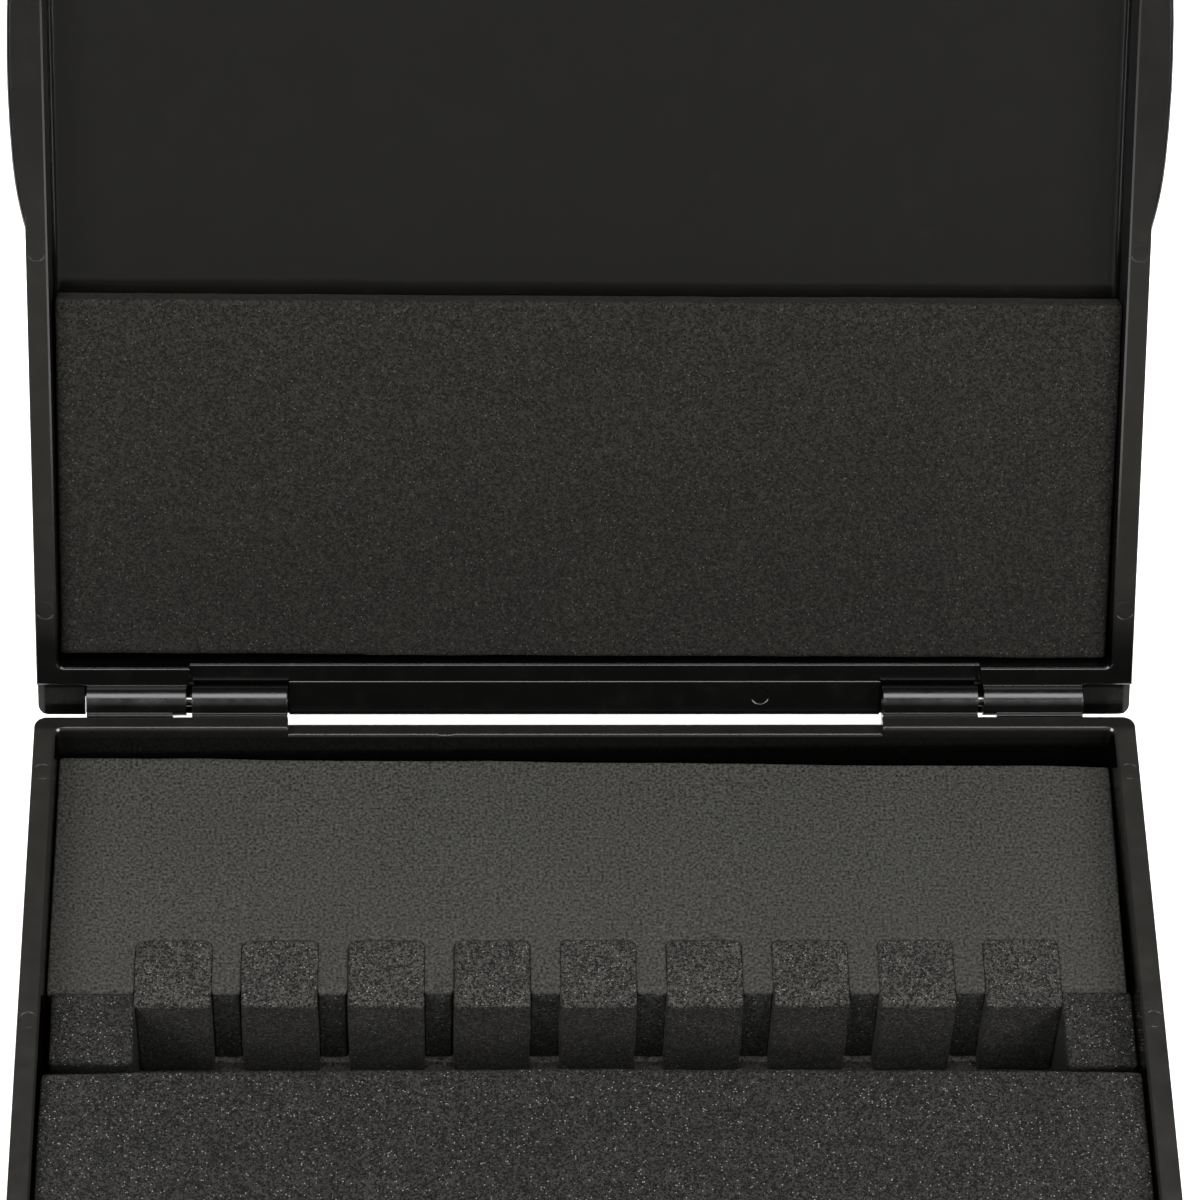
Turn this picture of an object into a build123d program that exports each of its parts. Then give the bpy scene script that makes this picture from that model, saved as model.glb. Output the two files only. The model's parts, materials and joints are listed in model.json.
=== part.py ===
from build123d import *
import os

os.makedirs("parts", exist_ok=True)

# Reed case, photographed open. All sizes are in millimetres.
# X runs across the case, -Y is the front and +Z is up. The origin is the middle of
# the flat underside of the base. A reach is a distance from the hinge axis, forwards
# in the base and away from the hinge in the lid. A drop is a distance below the rim
# plane in the base, and a rise is a distance from the rim plane into the closed lid.
# Cutters run past what they cut by overcut.

# Both shells
base_width = 112.4
lid_width = 112.1
front_reach = 88.0
side_wall = 2.2
front_wall = 2.2
corner_radius = 1.2
inner_corner_radius = 0.7
outer_draft = 0.8
inner_draft = 0.4
rim_edge = 0.2
closed_gap = 0.1
overcut = 1.0
level_tolerance = 0.001

# Base shell
base_height = 20.0
base_floor = 2.0
base_rear_outer = 2.0
base_rear_inner = 3.6
base_bottom_edge = 1.8
base_inner_fillet = 0.6
base_vent_half = 30.35
base_vent_drop = 1.25

# Lid shell
lid_height = 8.5
lid_roof = 2.0
lid_hood_reach = -2.08
lid_rim_outer = 1.6
lid_rim_inner = 3.5
lid_top_edge = 1.8
lid_inner_fillet = 0.75
lid_ledge_rise = 1.4
lid_vent_half = 40.45
witness_size = 0.08

# Finger lips on the two sides of the lid
lip_start = 48.7
lip_end = 81.3
lip_proud = 1.57
lip_shoulder_half = 8.8
lip_shoulder_proud = 1.28
lip_height = 6.4
lip_fade_angle = 15.0
lip_root = 6.0
lip_edge = 0.45

# Hinges
open_angle = 126.0
barrel_radius = 1.55
pin_radius = 0.6
pin_running_gap = 0.05
base_knuckle = (30.45, 40.15)
lid_knuckle = (40.75, 50.9)
hinge_pocket = (30.3, 51.2)
pocket_rise = 2.0
pocket_slot = (50.9, 51.2)
pocket_slot_rise = 7.15
web_depth = 4.5
web_sink = 0.6
web_tangent = 0.5
pin_end_inset = 0.4
heel_range = (42.1, 50.9)
heel_gap = 0.05
heel_drop = 1.4
heel_start = 0.9

# Snap catch inside the front walls
catch_half = 10.0
catch_thickness = 1.0
catch_stand = 2.2
catch_root = 4.0
catch_gap = 0.2
bead_rise = 1.3
bead_radius = 0.4
groove_depth = 0.55
lead_in_depth = 0.3
lead_in_rise = 0.9
groove_top_rise = 1.9
catch_side_gap = 0.7
catch_sink = 0.3
catch_bridge_drop = 0.5

# Ejector pin marks on the rims
mark_radius = 0.9
mark_depth = 0.06
base_mark_reaches = (8.8, 38.2, 67.6)
lid_mark_reaches = (9.6, 47.0)
base_rear_mark_x = -14.3
lid_rear_mark_x = 18.0

# Foam in the base
foam_side_gap = 0.17
liner_thickness = 1.0
liner_margin = 0.7
rear_foam_drop = 4.6
rear_foam_back_left = 3.8
rear_foam_back_right = 5.0
rear_foam_front = 32.2
rear_foam_skew = 0.35
peg_count = 9
peg_pitch = 10.57
peg_row_middle = 0.92
peg_width = 7.5
peg_back = 26.1
peg_front = 33.75
peg_corner = 0.8
peg_gap = 0.05
end_block_back = 32.3
end_block_front_left = 40.3
end_block_front_right = 40.8
end_block_left_edge = -53.25
front_foam_back = 42.95
front_foam_bow = 0.5
front_foam_drop = 2.0
front_foam_gap = 0.3

# Foam in the lid
lid_pad_rise = 2.2
lid_pad_back = 4.0
lid_pad_front = 41.4
lid_pad_sides = (-53.55, 53.65)
lid_pad_skew = 0.3
lid_pad_lower_chamfer = 1.2
adhesive_thickness = 0.25
adhesive_inset = 2.0
foam_edge = 0.2

# Worked out from the sizes above
axis_y = (front_reach - base_rear_outer) / 2 + base_rear_outer
axis_z = base_height
base_inner_half = base_width / 2 - side_wall
lid_inner_half = lid_width / 2 - side_wall
base_rim_x = base_width / 2 - side_wall / 2
lid_rim_x = lid_width / 2 - side_wall / 2
inner_front = front_reach - front_wall
hinge_axis = Axis((0, axis_y, axis_z), (1, 0, 0))


def y_at(reach):
    """Place of a reach along Y, in the base and in the closed lid."""
    return axis_y - reach


def span(x_range, reach_range, z_range):
    """Block between two values on each axis, with its depth given as reaches."""
    size_x = x_range[1] - x_range[0]
    size_y = reach_range[1] - reach_range[0]
    size_z = z_range[1] - z_range[0]
    middle_y = y_at(sum(reach_range) / 2)
    return Pos(sum(x_range) / 2, middle_y, sum(z_range) / 2) * Box(size_x, size_y, size_z)


def outline(half_width, reach_range, radius, z):
    """Flat rounded rectangle at height z."""
    depth = reach_range[1] - reach_range[0]
    face = RectangleRounded(2 * half_width, depth, radius)
    return Pos(0, y_at(sum(reach_range) / 2), z) * face


def edges_at(shape, z):
    """Edges that lie in the level plane at height z."""
    return shape.edges().filter_by_position(Axis.Z, z - level_tolerance, z + level_tolerance)


def hollow(half_width, reach_range, mouth_z, depth, direction, floor_fillet):
    """Drafted inside of a shell, cut from its rim, with the rim's inner edge broken."""
    mouth = outline(half_width, reach_range, inner_corner_radius, mouth_z)
    space = extrude(mouth, amount=depth, dir=(0, 0, direction), taper=inner_draft)
    space = fillet(edges_at(space, mouth_z + direction * depth), floor_fillet)
    wider = (reach_range[0] - rim_edge, reach_range[1] + rim_edge)
    rim = outline(half_width + rim_edge, wider, inner_corner_radius + rim_edge, mouth_z)
    return space + extrude(rim, amount=rim_edge, dir=(0, 0, direction), taper=45)


def edge_break(x_range, reach, z, towards, inward):
    """Cutter that takes a 45 degree break off an edge along X.

    towards is the direction of open space along the reach, inward that of the solid along Z.
    """
    open_side = reach + towards * rim_edge
    solid_side = reach - towards * rim_edge
    section = [(solid_side, z), (open_side, z), (open_side, z + inward * 2 * rim_edge)]
    return prism(section, x_range)


def rod(x_range, radius, reach=0.0, z=axis_z):
    """Round bar along X."""
    length = x_range[1] - x_range[0]
    return Pos(sum(x_range) / 2, y_at(reach), z) * Rot(0, 90, 0) * Cylinder(radius, length)


def prism(points, x_range):
    """Bar along X with a section of (reach, z) points."""
    flat = [(x_range[0], y_at(reach), z) for reach, z in points]
    face = make_face(Polyline(*flat, close=True))
    return extrude(face, amount=x_range[1] - x_range[0], dir=(1, 0, 0))


def mirrored(x_range):
    """The same range on the left and on the right of the case."""
    return ((-x_range[1], -x_range[0]), x_range)


def ejector_mark(x, reach, z):
    """Shallow round mark in a rim, from the pin that pushed the moulding out."""
    return Pos(x, y_at(reach), z) * Cylinder(mark_radius, 2 * mark_depth)


def knuckle(x_range, side):
    """Barrel on the hinge axis with its web. side is -1 below the rims, 1 above."""
    tangent = web_tangent * barrel_radius
    rise = side * (barrel_radius**2 - tangent**2) ** 0.5
    root = web_sink + (base_rear_outer if side < 0 else lid_rim_outer)
    low = side * closed_gap / 2
    section = [
        (0, axis_z + low),
        (root, axis_z + low),
        (root, axis_z + side * web_depth),
        (-tangent, axis_z + rise),
    ]
    return rod(x_range, barrel_radius) + prism(section, x_range)


def base_shell():
    """Tray with the inner pair of knuckles, lowered in the middle of its rear rim."""
    reach_range = (base_rear_outer, front_reach)
    top = outline(base_width / 2, reach_range, corner_radius, base_height)
    body = extrude(top, amount=base_height, dir=(0, 0, -1), taper=outer_draft)
    body = fillet(edges_at(body, 0), base_bottom_edge)
    body = fillet(edges_at(body, base_height), rim_edge)
    inside = (base_rear_inner, inner_front)
    depth = base_height - base_floor
    body -= hollow(base_inner_half, inside, base_height, depth, -1, base_inner_fillet)
    vent_floor = base_height - base_vent_drop
    vent = (-base_vent_half, base_vent_half)
    across_wall = (base_rear_outer - overcut, base_rear_inner + overcut)
    body -= span(vent, across_wall, (vent_floor, base_height + overcut))
    body -= edge_break(vent, base_rear_inner, vent_floor, 1, -1)
    body -= edge_break(vent, base_rear_outer, vent_floor, -1, -1)
    for x_range in mirrored(base_knuckle):
        body += knuckle(x_range, -1)
        body -= rod((x_range[0] - overcut, x_range[1] + overcut), pin_radius)
    for x in (-base_rim_x, base_rim_x):
        for reach in base_mark_reaches:
            body -= ejector_mark(x, reach, base_height)
    rear_middle = (base_rear_outer + base_rear_inner) / 2
    body -= ejector_mark(base_rear_mark_x, rear_middle, vent_floor)
    return body + catch_tongue()


def catch_tongue():
    """Tongue behind the front wall of the base, with the bead that the lid snaps over."""
    face = inner_front - catch_gap
    back = face - catch_thickness
    width = (-catch_half, catch_half)
    foot = base_height - catch_root
    tongue = span(width, (back, face), (foot, base_height + catch_stand))
    bridge = (face - catch_sink, inner_front + catch_sink)
    tongue += span(width, bridge, (foot, base_height - catch_bridge_drop))
    tongue += rod(width, bead_radius, face, base_height + bead_rise)
    return tongue


def finger_lips():
    """Bowed lips on both sides of the lid that fade out up the walls."""
    edge = lid_width / 2
    z = axis_z + closed_gap / 2
    middle = (lip_start + lip_end) / 2
    near = (edge, y_at(lip_start), z)
    far = (edge, y_at(lip_end), z)
    near_shoulder = (edge + lip_shoulder_proud, y_at(middle - lip_shoulder_half), z)
    far_shoulder = (edge + lip_shoulder_proud, y_at(middle + lip_shoulder_half), z)
    crown = (edge + lip_proud, y_at(middle), z)
    bow = ThreePointArc(far_shoulder, crown, near_shoulder)
    near_end = TangentArc(near_shoulder, near, tangent=bow % 1)
    far_end = TangentArc(far_shoulder, far, tangent=-(bow % 0))
    root_near = (edge - lip_root, y_at(lip_start), z)
    root_far = (edge - lip_root, y_at(lip_end), z)
    rest = Polyline(near, root_near, root_far, far)
    plan = make_face(Wire([bow, near_end, far_end] + list(rest.edges())))
    lip = extrude(plan, amount=lip_height, dir=(0, 0, 1), taper=lip_fade_angle)
    arcs = edges_at(lip, z).filter_by(GeomType.CIRCLE)
    lip = fillet(arcs, lip_edge)
    return lip + mirror(lip, about=Plane.YZ)


def lid_shell():
    """Lid in its open pose, with the hood, pockets, outer knuckles and stop heels."""
    low = axis_z + closed_gap / 2
    top = axis_z + lid_height
    reach_range = (lid_hood_reach, front_reach)
    plan = outline(lid_width / 2, reach_range, corner_radius, low)
    body = extrude(plan, amount=top - low, dir=(0, 0, 1), taper=outer_draft)
    body = fillet(edges_at(body, top), lid_top_edge)
    body = fillet(edges_at(body, low), rim_edge)
    body += finger_lips()
    inside = (lid_rim_inner, inner_front)
    depth = top - lid_roof - low
    body -= hollow(lid_inner_half, inside, low, depth, 1, lid_inner_fillet)
    everywhere = (-lid_width, lid_width)
    ledge = axis_z + lid_ledge_rise
    hood_back = lid_hood_reach - overcut
    body -= span(everywhere, (hood_back, lid_rim_outer), (low - overcut, ledge))
    vent = (-lid_vent_half, lid_vent_half)
    body -= span(vent, (hood_back, lid_rim_inner + overcut), (low - overcut, ledge))
    body -= edge_break(vent, lid_rim_inner, ledge, 1, 1)
    body -= edge_break(everywhere, lid_rim_outer, low, -1, 1)
    body -= edge_break(everywhere, lid_hood_reach, ledge, -1, 1)
    body -= witness_line(vent, lid_rim_outer, ledge)
    for x_range in mirrored(hinge_pocket):
        body -= span(x_range, (hood_back, lid_rim_outer), (low, axis_z + pocket_rise))
    for x_range in mirrored(pocket_slot):
        body -= span(x_range, (hood_back, lid_rim_outer), (low, axis_z + pocket_slot_rise))
    for x_range in mirrored(lid_knuckle):
        body += knuckle(x_range, 1)
    for x in (-lid_rim_x, lid_rim_x):
        for reach in lid_mark_reaches:
            body -= ejector_mark(x, reach, low)
    body -= ejector_mark(lid_rear_mark_x, 0, ledge)
    body -= catch_groove(low)
    body = body.rotate(hinge_axis, -open_angle)
    for x_range in mirrored(heel_range):
        body += stop_heel(x_range)
    for x_range in mirrored(lid_knuckle):
        body -= rod((x_range[0] - overcut, x_range[1] + overcut), pin_radius + pin_running_gap)
    return body


def witness_line(x_range, reach, z):
    """Fine line in the ledge of the lid where two faces of the mould met."""
    section = [(reach - witness_size, z), (reach + witness_size, z), (reach, z + witness_size)]
    return prism(section, x_range)


def catch_groove(low):
    """Lead-in and groove inside the front wall of the lid, for the bead of the catch."""
    half = catch_half + catch_side_gap
    width = (-half, half)
    back = inner_front - overcut
    lead_in_top = low + lead_in_rise
    lead_in = span(width, (back, inner_front + lead_in_depth), (low - overcut, lead_in_top))
    groove = span(width, (back, inner_front + groove_depth), (lead_in_top, low + groove_top_rise))
    return lead_in + groove


def stop_heel(x_range):
    """Flat heel on a lid barrel that meets the rear wall of the base when open."""
    face = base_rear_outer - heel_gap
    return span(x_range, (heel_start, face), (axis_z - heel_drop, axis_z))


def hinge_pin(side):
    """Steel pin, pressed into the base knuckle and running in the lid knuckle."""
    ends = (base_knuckle[0] + pin_end_inset, lid_knuckle[1] - pin_end_inset)
    left, right = mirrored(ends)
    return rod(right if side > 0 else left, pin_radius)


def foam_block(sides, z_range):
    """Foam cut to a plan whose sides lie level at its foot, with soft top edges."""
    block = extrude(make_face(sides), amount=z_range[1] - z_range[0], dir=(0, 0, 1))
    return fillet(edges_at(block, z_range[1]), foam_edge)


def floor_points(points):
    """Places on the liner of (x, reach) points."""
    return [(x, y_at(reach), foam_floor) for x, reach in points]


foam_half = base_inner_half - foam_side_gap
foam_floor = base_floor + liner_thickness
rear_foam_top = base_height - rear_foam_drop
front_foam_top = base_height - front_foam_drop
first_peg_x = peg_row_middle - peg_pitch * (peg_count - 1) / 2
peg_middles = [first_peg_x + index * peg_pitch for index in range(peg_count)]


def peg_plan(middle_x, gap, reach_range, z):
    """Plan of a peg or, with a gap, of its notch, with rounded rear corners."""
    width = peg_width + 2 * gap
    depth = reach_range[1] - reach_range[0]
    face = Pos(middle_x, y_at(sum(reach_range) / 2), z) * Rectangle(width, depth)
    rear = face.vertices().group_by(Axis.Y)[-1]
    return fillet(rear, peg_corner)


def rear_foam_block():
    """Smooth foam behind the trough, with a notch for each peg in its front edge."""
    corners = floor_points([
        (-foam_half, rear_foam_back_left),
        (foam_half, rear_foam_back_right),
        (foam_half - rear_foam_skew, rear_foam_front),
        (-foam_half, rear_foam_front),
    ])
    block = foam_block(Polyline(*corners, close=True), (foam_floor, rear_foam_top))
    reach_range = (peg_back - peg_gap, rear_foam_front + overcut)
    for middle_x in peg_middles:
        notch = peg_plan(middle_x, peg_gap, reach_range, foam_floor - overcut)
        block -= extrude(notch, amount=base_height, dir=(0, 0, 1))
    return block


def foam_peg(middle_x):
    """Coarse foam peg that stands in its notch and stops flush with the rear block."""
    plan = peg_plan(middle_x, 0, (peg_back, peg_front), foam_floor)
    peg = extrude(plan, amount=rear_foam_top - foam_floor, dir=(0, 0, 1))
    top_front = edges_at(peg, rear_foam_top).sort_by(Axis.Y)[0]
    return fillet(top_front, foam_edge)


def end_block(x_range, front):
    """Coarse foam block between the rear block and the front block, at one end."""
    corners = floor_points([
        (x_range[0], end_block_back),
        (x_range[1], end_block_back),
        (x_range[1], front),
        (x_range[0], front),
    ])
    return foam_block(Polyline(*corners, close=True), (foam_floor, rear_foam_top))


def front_foam_block():
    """Coarse foam with a bowed rear edge, notched at the front round the catch tongue."""
    front = inner_front - front_foam_gap
    corners = floor_points([
        (-foam_half, front_foam_back),
        (-foam_half, front),
        (foam_half, front),
        (foam_half, front_foam_back),
    ])
    bow_middle = floor_points([(0, front_foam_back - front_foam_bow)])[0]
    rear_edge = ThreePointArc(corners[-1], bow_middle, corners[0])
    sides = Polyline(*corners).edges() + rear_edge.edges()
    block = foam_block(sides, (foam_floor, front_foam_top))
    half = catch_half + catch_side_gap
    back = inner_front - catch_gap - catch_thickness - front_foam_gap
    notch = (foam_floor - overcut, base_height)
    block -= span((-half, half), (back, front + overcut), notch)
    return block


def floor_liner():
    """Thin sheet on the floor of the base that carries the foam."""
    half = foam_half - liner_margin
    reaches = (base_rear_inner + liner_margin, inner_front - liner_margin)
    return span((-half, half), reaches, (base_floor, foam_floor))


def lid_foam_pad():
    """Foam pad in the hinge half of the lid, glued in slightly out of square."""
    lower = axis_z + lid_pad_rise
    upper = axis_z + lid_height - lid_roof - adhesive_thickness
    pad = span(lid_pad_sides, (lid_pad_back, lid_pad_front), (lower, upper))
    pad = fillet(edges_at(pad, lower), foam_edge)
    pad = chamfer(edges_at(pad, upper), lid_pad_lower_chamfer)
    return lid_pose(pad)


def lid_pad_adhesive():
    """Adhesive film between the pad and the roof of the lid."""
    upper = axis_z + lid_height - lid_roof
    sides = (lid_pad_sides[0] + adhesive_inset, lid_pad_sides[1] - adhesive_inset)
    reaches = (lid_pad_back + adhesive_inset, lid_pad_front - adhesive_inset)
    return lid_pose(span(sides, reaches, (upper - adhesive_thickness, upper)))


def lid_pose(piece):
    """Set the pad or its adhesive a little out of square in the closed lid, then open it."""
    middle = y_at((lid_pad_back + lid_pad_front) / 2)
    skewed = piece.rotate(Axis((0, middle, 0), (0, 0, 1)), lid_pad_skew)
    return skewed.rotate(hinge_axis, -open_angle)


left_block_range = (end_block_left_edge, peg_middles[0] - peg_width / 2 - peg_gap)
right_block_range = (peg_middles[-1] + peg_width / 2 + peg_gap, foam_half)

nodes = {
    "base_shell": base_shell(),
    "lid_shell": lid_shell(),
    "hinge_pin_left": hinge_pin(-1),
    "hinge_pin_right": hinge_pin(1),
    "floor_liner": floor_liner(),
    "rear_foam_block": rear_foam_block(),
    "end_block_left": end_block(left_block_range, end_block_front_left),
    "end_block_right": end_block(right_block_range, end_block_front_right),
    "front_foam_block": front_foam_block(),
    "lid_foam_pad": lid_foam_pad(),
    "lid_pad_adhesive": lid_pad_adhesive(),
}
for number, middle_x in enumerate(peg_middles, start=1):
    nodes[f"foam_peg_{number}"] = foam_peg(middle_x)

for name, shape in nodes.items():
    export_step(shape, f"parts/{name}.step")
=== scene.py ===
import json
import math

import bmesh
import bpy
from bpy.props import FloatProperty, FloatVectorProperty, PointerProperty
from bpy.types import Operator, Panel, PropertyGroup
from mathutils import Matrix, Vector


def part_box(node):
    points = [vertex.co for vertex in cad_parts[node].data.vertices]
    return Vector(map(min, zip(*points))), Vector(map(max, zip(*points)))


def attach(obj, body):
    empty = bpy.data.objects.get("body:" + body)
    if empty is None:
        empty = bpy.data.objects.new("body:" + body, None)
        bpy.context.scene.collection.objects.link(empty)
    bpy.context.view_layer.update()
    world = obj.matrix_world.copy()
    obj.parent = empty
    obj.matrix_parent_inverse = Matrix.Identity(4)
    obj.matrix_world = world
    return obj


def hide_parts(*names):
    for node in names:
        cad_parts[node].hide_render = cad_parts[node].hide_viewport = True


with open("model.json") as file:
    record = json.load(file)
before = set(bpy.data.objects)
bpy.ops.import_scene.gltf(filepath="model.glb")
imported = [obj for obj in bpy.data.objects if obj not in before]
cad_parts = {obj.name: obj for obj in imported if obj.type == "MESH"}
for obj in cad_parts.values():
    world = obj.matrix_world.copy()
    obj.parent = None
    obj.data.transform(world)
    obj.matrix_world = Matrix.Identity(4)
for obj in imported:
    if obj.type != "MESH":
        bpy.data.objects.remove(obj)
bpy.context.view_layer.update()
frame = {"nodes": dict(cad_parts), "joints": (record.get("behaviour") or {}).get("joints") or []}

bl_info = {
    "name": "Reed case",
    "version": (1, 0, 0),
    "blender": (4, 5, 0),
    "location": "3D View > Sidebar > Reed case",
    "description": "Dresses the packed reed case: moulded shells, steel pins and cut foam",
    "category": "Object",
}

MM = 0.001

# Directions in the shared frame, and plain values
RIGHT = (1.0, 0.0, 0.0)
BACK = (0.0, 1.0, 0.0)
UP = (0.0, 0.0, 1.0)
ORIGIN = (0.0, 0.0, 0.0)
WHITE = (1.0, 1.0, 1.0)

# Places on the case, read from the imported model
HINGE = Vector(frame["joints"][0]["pos_m"])
REAR_FOAM_LOW, REAR_FOAM_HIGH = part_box("rear_foam_block")
PEGS = sorted(name for name in frame["nodes"] if name.startswith("foam_peg_"))

# The lid is packed open, LID_OPEN from shut. LID_ALONG points along it from the hinge to its
# front, LID_INTO from its rim into its recess, and LID_ROOF is the depth of that recess
LID_OPEN = math.radians(frame["joints"][0]["range_deg"][1])
LID_ALONG = (0.0, -math.cos(LID_OPEN), math.sin(LID_OPEN))
LID_INTO = (0.0, math.sin(LID_OPEN), math.cos(LID_OPEN))
LID_ROOF = 6.5 * MM


# Shader maths

class Value:
    """A shader socket that can be used in a Python expression."""

    def __init__(self, shade, socket):
        self.shade = shade
        self.socket = socket

    def _math(self, operation, *values):
        node = self.shade.node("ShaderNodeMath", {"operation": operation}, *values)
        return node.out(0)

    def __add__(self, other):
        return self._math("ADD", self, other)

    def __radd__(self, other):
        return self._math("ADD", other, self)

    def __sub__(self, other):
        return self._math("SUBTRACT", self, other)

    def __rsub__(self, other):
        return self._math("SUBTRACT", other, self)

    def __mul__(self, other):
        return self._math("MULTIPLY", self, other)

    def __rmul__(self, other):
        return self._math("MULTIPLY", other, self)

    def __truediv__(self, other):
        return self._math("DIVIDE", self, other)

    def size(self):
        """How far the value is from zero."""
        return self._math("ABSOLUTE", self)

    def swing(self):
        """A value from 0 to 1, moved so that it swings about zero."""
        return self - 0.5

    def atleast(self, other):
        """The higher of two values."""
        return self._math("MAXIMUM", self, other)

    def step(self, start, end):
        """0 before start and 1 after end, with a soft ramp between them."""
        settings = {"interpolation_type": "SMOOTHSTEP"}
        node = self.shade.node("ShaderNodeMapRange", settings, self, start, end)
        return node.out("Result")


class Made:
    """A shader node that has been made, and its outputs."""

    def __init__(self, shade, node):
        self.shade = shade
        self.node = node

    def out(self, name):
        """One output, as a value for an expression."""
        return Value(self.shade, self.node.outputs[name])


class Shade:
    """Builds the node tree of one material."""

    def __init__(self, name):
        self.material = bpy.data.materials.new(name)
        self.material.use_nodes = True
        self.tree = self.material.node_tree
        self.tree.nodes.clear()
        self.place = self.node("ShaderNodeTexCoord", {}).out("Object")

    def node(self, kind, settings, *values, **named):
        """Make a node: settings are set first, then its sockets in order or by name."""
        node = self.tree.nodes.new(kind)
        for key, value in settings.items():
            setattr(node, key, value)
        sockets = list(zip([s for s in node.inputs if s.enabled], values))
        sockets += [(node.inputs[key.replace("_", " ")], value) for key, value in named.items()]
        for socket, value in sockets:
            if isinstance(value, Value):
                self.tree.links.new(value.socket, socket)
            else:
                socket.default_value = value
        return Made(self, node)

    def mix(self, factor, first, second):
        """Blend two colours."""
        node = self.node("ShaderNodeMix", {"data_type": "RGBA"}, factor, first, second)
        return node.out("Result")

    def scaled(self, colour, amount):
        """Scale a colour or a place by a value."""
        node = self.node("ShaderNodeVectorMath", {"operation": "SCALE"}, colour, Scale=amount)
        return node.out("Vector")

    def noise(self, size, detail=2.0, place=None, roughness=0.5):
        """Soft noise whose features are about size metres across."""
        node = self.node("ShaderNodeTexNoise", {}, Vector=place or self.place,
                         Scale=1 / size, Detail=detail, Roughness=roughness)
        return node.out("Fac")

    def cells(self, size, place=None):
        """Random cells about size metres across."""
        return self.node("ShaderNodeTexVoronoi", {}, Vector=place or self.place, Scale=1 / size)

    def own_number(self, cells):
        """A random number from 0 to 1 for each cell."""
        return self.node("ShaderNodeSeparateColor", {}, cells.out("Color")).out("Red")

    def dot(self, direction, origin=ORIGIN):
        """Distance along a direction from an origin, in object space."""
        moved = self.node("ShaderNodeVectorMath", {"operation": "SUBTRACT"}, self.place, origin)
        product = self.node("ShaderNodeVectorMath", {"operation": "DOT_PRODUCT"},
                            moved.out("Vector"), direction)
        return product.out("Value")

    def stretched(self, scale):
        """The place, scaled apart on each axis."""
        return self.node("ShaderNodeMapping", {}, Vector=self.place, Scale=scale).out("Vector")

    def bump(self, height, distance, **given):
        """Normal from a height of 0 to 1 that stands for distance metres."""
        return self.node("ShaderNodeBump", {}, Distance=distance, Height=height, **given).out("Normal")

    def finish(self, shader):
        """Finish the material with a shader."""
        self.node("ShaderNodeOutputMaterial", {}, Surface=shader)
        return self.material

    def surface(self, **sockets):
        """Finish the material with one principled surface."""
        return self.finish(self.node("ShaderNodeBsdfPrincipled", {}, **sockets).out("BSDF"))


# Settings

class PlasticSettings(PropertyGroup):
    """Finish of the two moulded shells."""

    colour: FloatVectorProperty(
        name="Colour", description="Colour of the black plastic",
        default=(0.0007, 0.0007, 0.00065), size=3, subtype="COLOR", min=0.0, max=1.0)
    # The rubbed colour also serves as painted sheen on the lid's roof
    rubbed_and_sheen: FloatVectorProperty(
        name="Rubbed colour", description="Colour of the rims, where dust and handling dull them",
        default=(0.0110, 0.0100, 0.0088), size=3, subtype="COLOR", min=0.0, max=1.0)
    outer_colour: FloatVectorProperty(
        name="Outer colour", description="Colour of the fine-textured outside",
        default=(0.0098, 0.0091, 0.0083), size=3, subtype="COLOR", min=0.0, max=1.0)
    polish: FloatProperty(
        name="Polish", description="Roughness of the smooth faces inside and on the hinges",
        default=0.13, min=0.0, max=1.0, subtype="FACTOR")
    roof_satin: FloatProperty(
        name="Roof satin", description="Roughness of the roof inside the lid",
        default=0.15, min=0.0, max=1.0, subtype="FACTOR")
    rim_satin: FloatProperty(
        name="Rim satin", description="Roughness of the side and front rims",
        default=0.20, min=0.0, max=1.0, subtype="FACTOR")
    outer_satin: FloatProperty(
        name="Outer satin", description="Roughness of the fine-textured outside",
        default=0.55, min=0.0, max=1.0, subtype="FACTOR")
    grain: FloatProperty(
        name="Grain", description="Width of the bumps of the fine texture",
        default=0.00022, min=0.00005, max=0.002, precision=5, subtype="DISTANCE", unit="LENGTH")
    edge_radius: FloatProperty(
        name="Edge radius", description="Rounding that the light shows on the moulded edges",
        default=0.00012, min=0.0, max=0.001, precision=5, subtype="DISTANCE", unit="LENGTH")
    grain_height: FloatProperty(
        name="Grain height", description="Height of the bumps of the fine texture",
        default=0.000006, min=0.0, max=0.0002, precision=6, subtype="DISTANCE", unit="LENGTH")


class FoamSettings(PropertyGroup):
    """Colours and cells of the foams."""

    smooth_colour: FloatVectorProperty(
        name="Smooth foam", description="Colour of the rear block's skin",
        default=(0.0183, 0.0179, 0.0159), size=3, subtype="COLOR", min=0.0, max=1.0)
    coarse_colour: FloatVectorProperty(
        name="Coarse foam", description="Colour of the pegs and the coarse blocks",
        default=(0.0078, 0.0075, 0.0068), size=3, subtype="COLOR", min=0.0, max=1.0)
    pad_colour: FloatVectorProperty(
        name="Lid pad", description="Colour of the pad in the lid",
        default=(0.0044, 0.0039, 0.0031), size=3, subtype="COLOR", min=0.0, max=1.0)
    liner_colour: FloatVectorProperty(
        name="Liner", description="Colour of the sheet under the foam",
        default=(0.034, 0.032, 0.029), size=3, subtype="COLOR", min=0.0, max=1.0)
    coarse_cell: FloatProperty(
        name="Coarse cell", description="Width of a cell of the coarse foam",
        default=0.00020, min=0.0001, max=0.003, precision=5, subtype="DISTANCE", unit="LENGTH")
    fine_cell: FloatProperty(
        name="Fine cell", description="Width of a cell of the smooth foam and the lid pad",
        default=0.00022, min=0.0001, max=0.003, precision=5, subtype="DISTANCE", unit="LENGTH")


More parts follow.
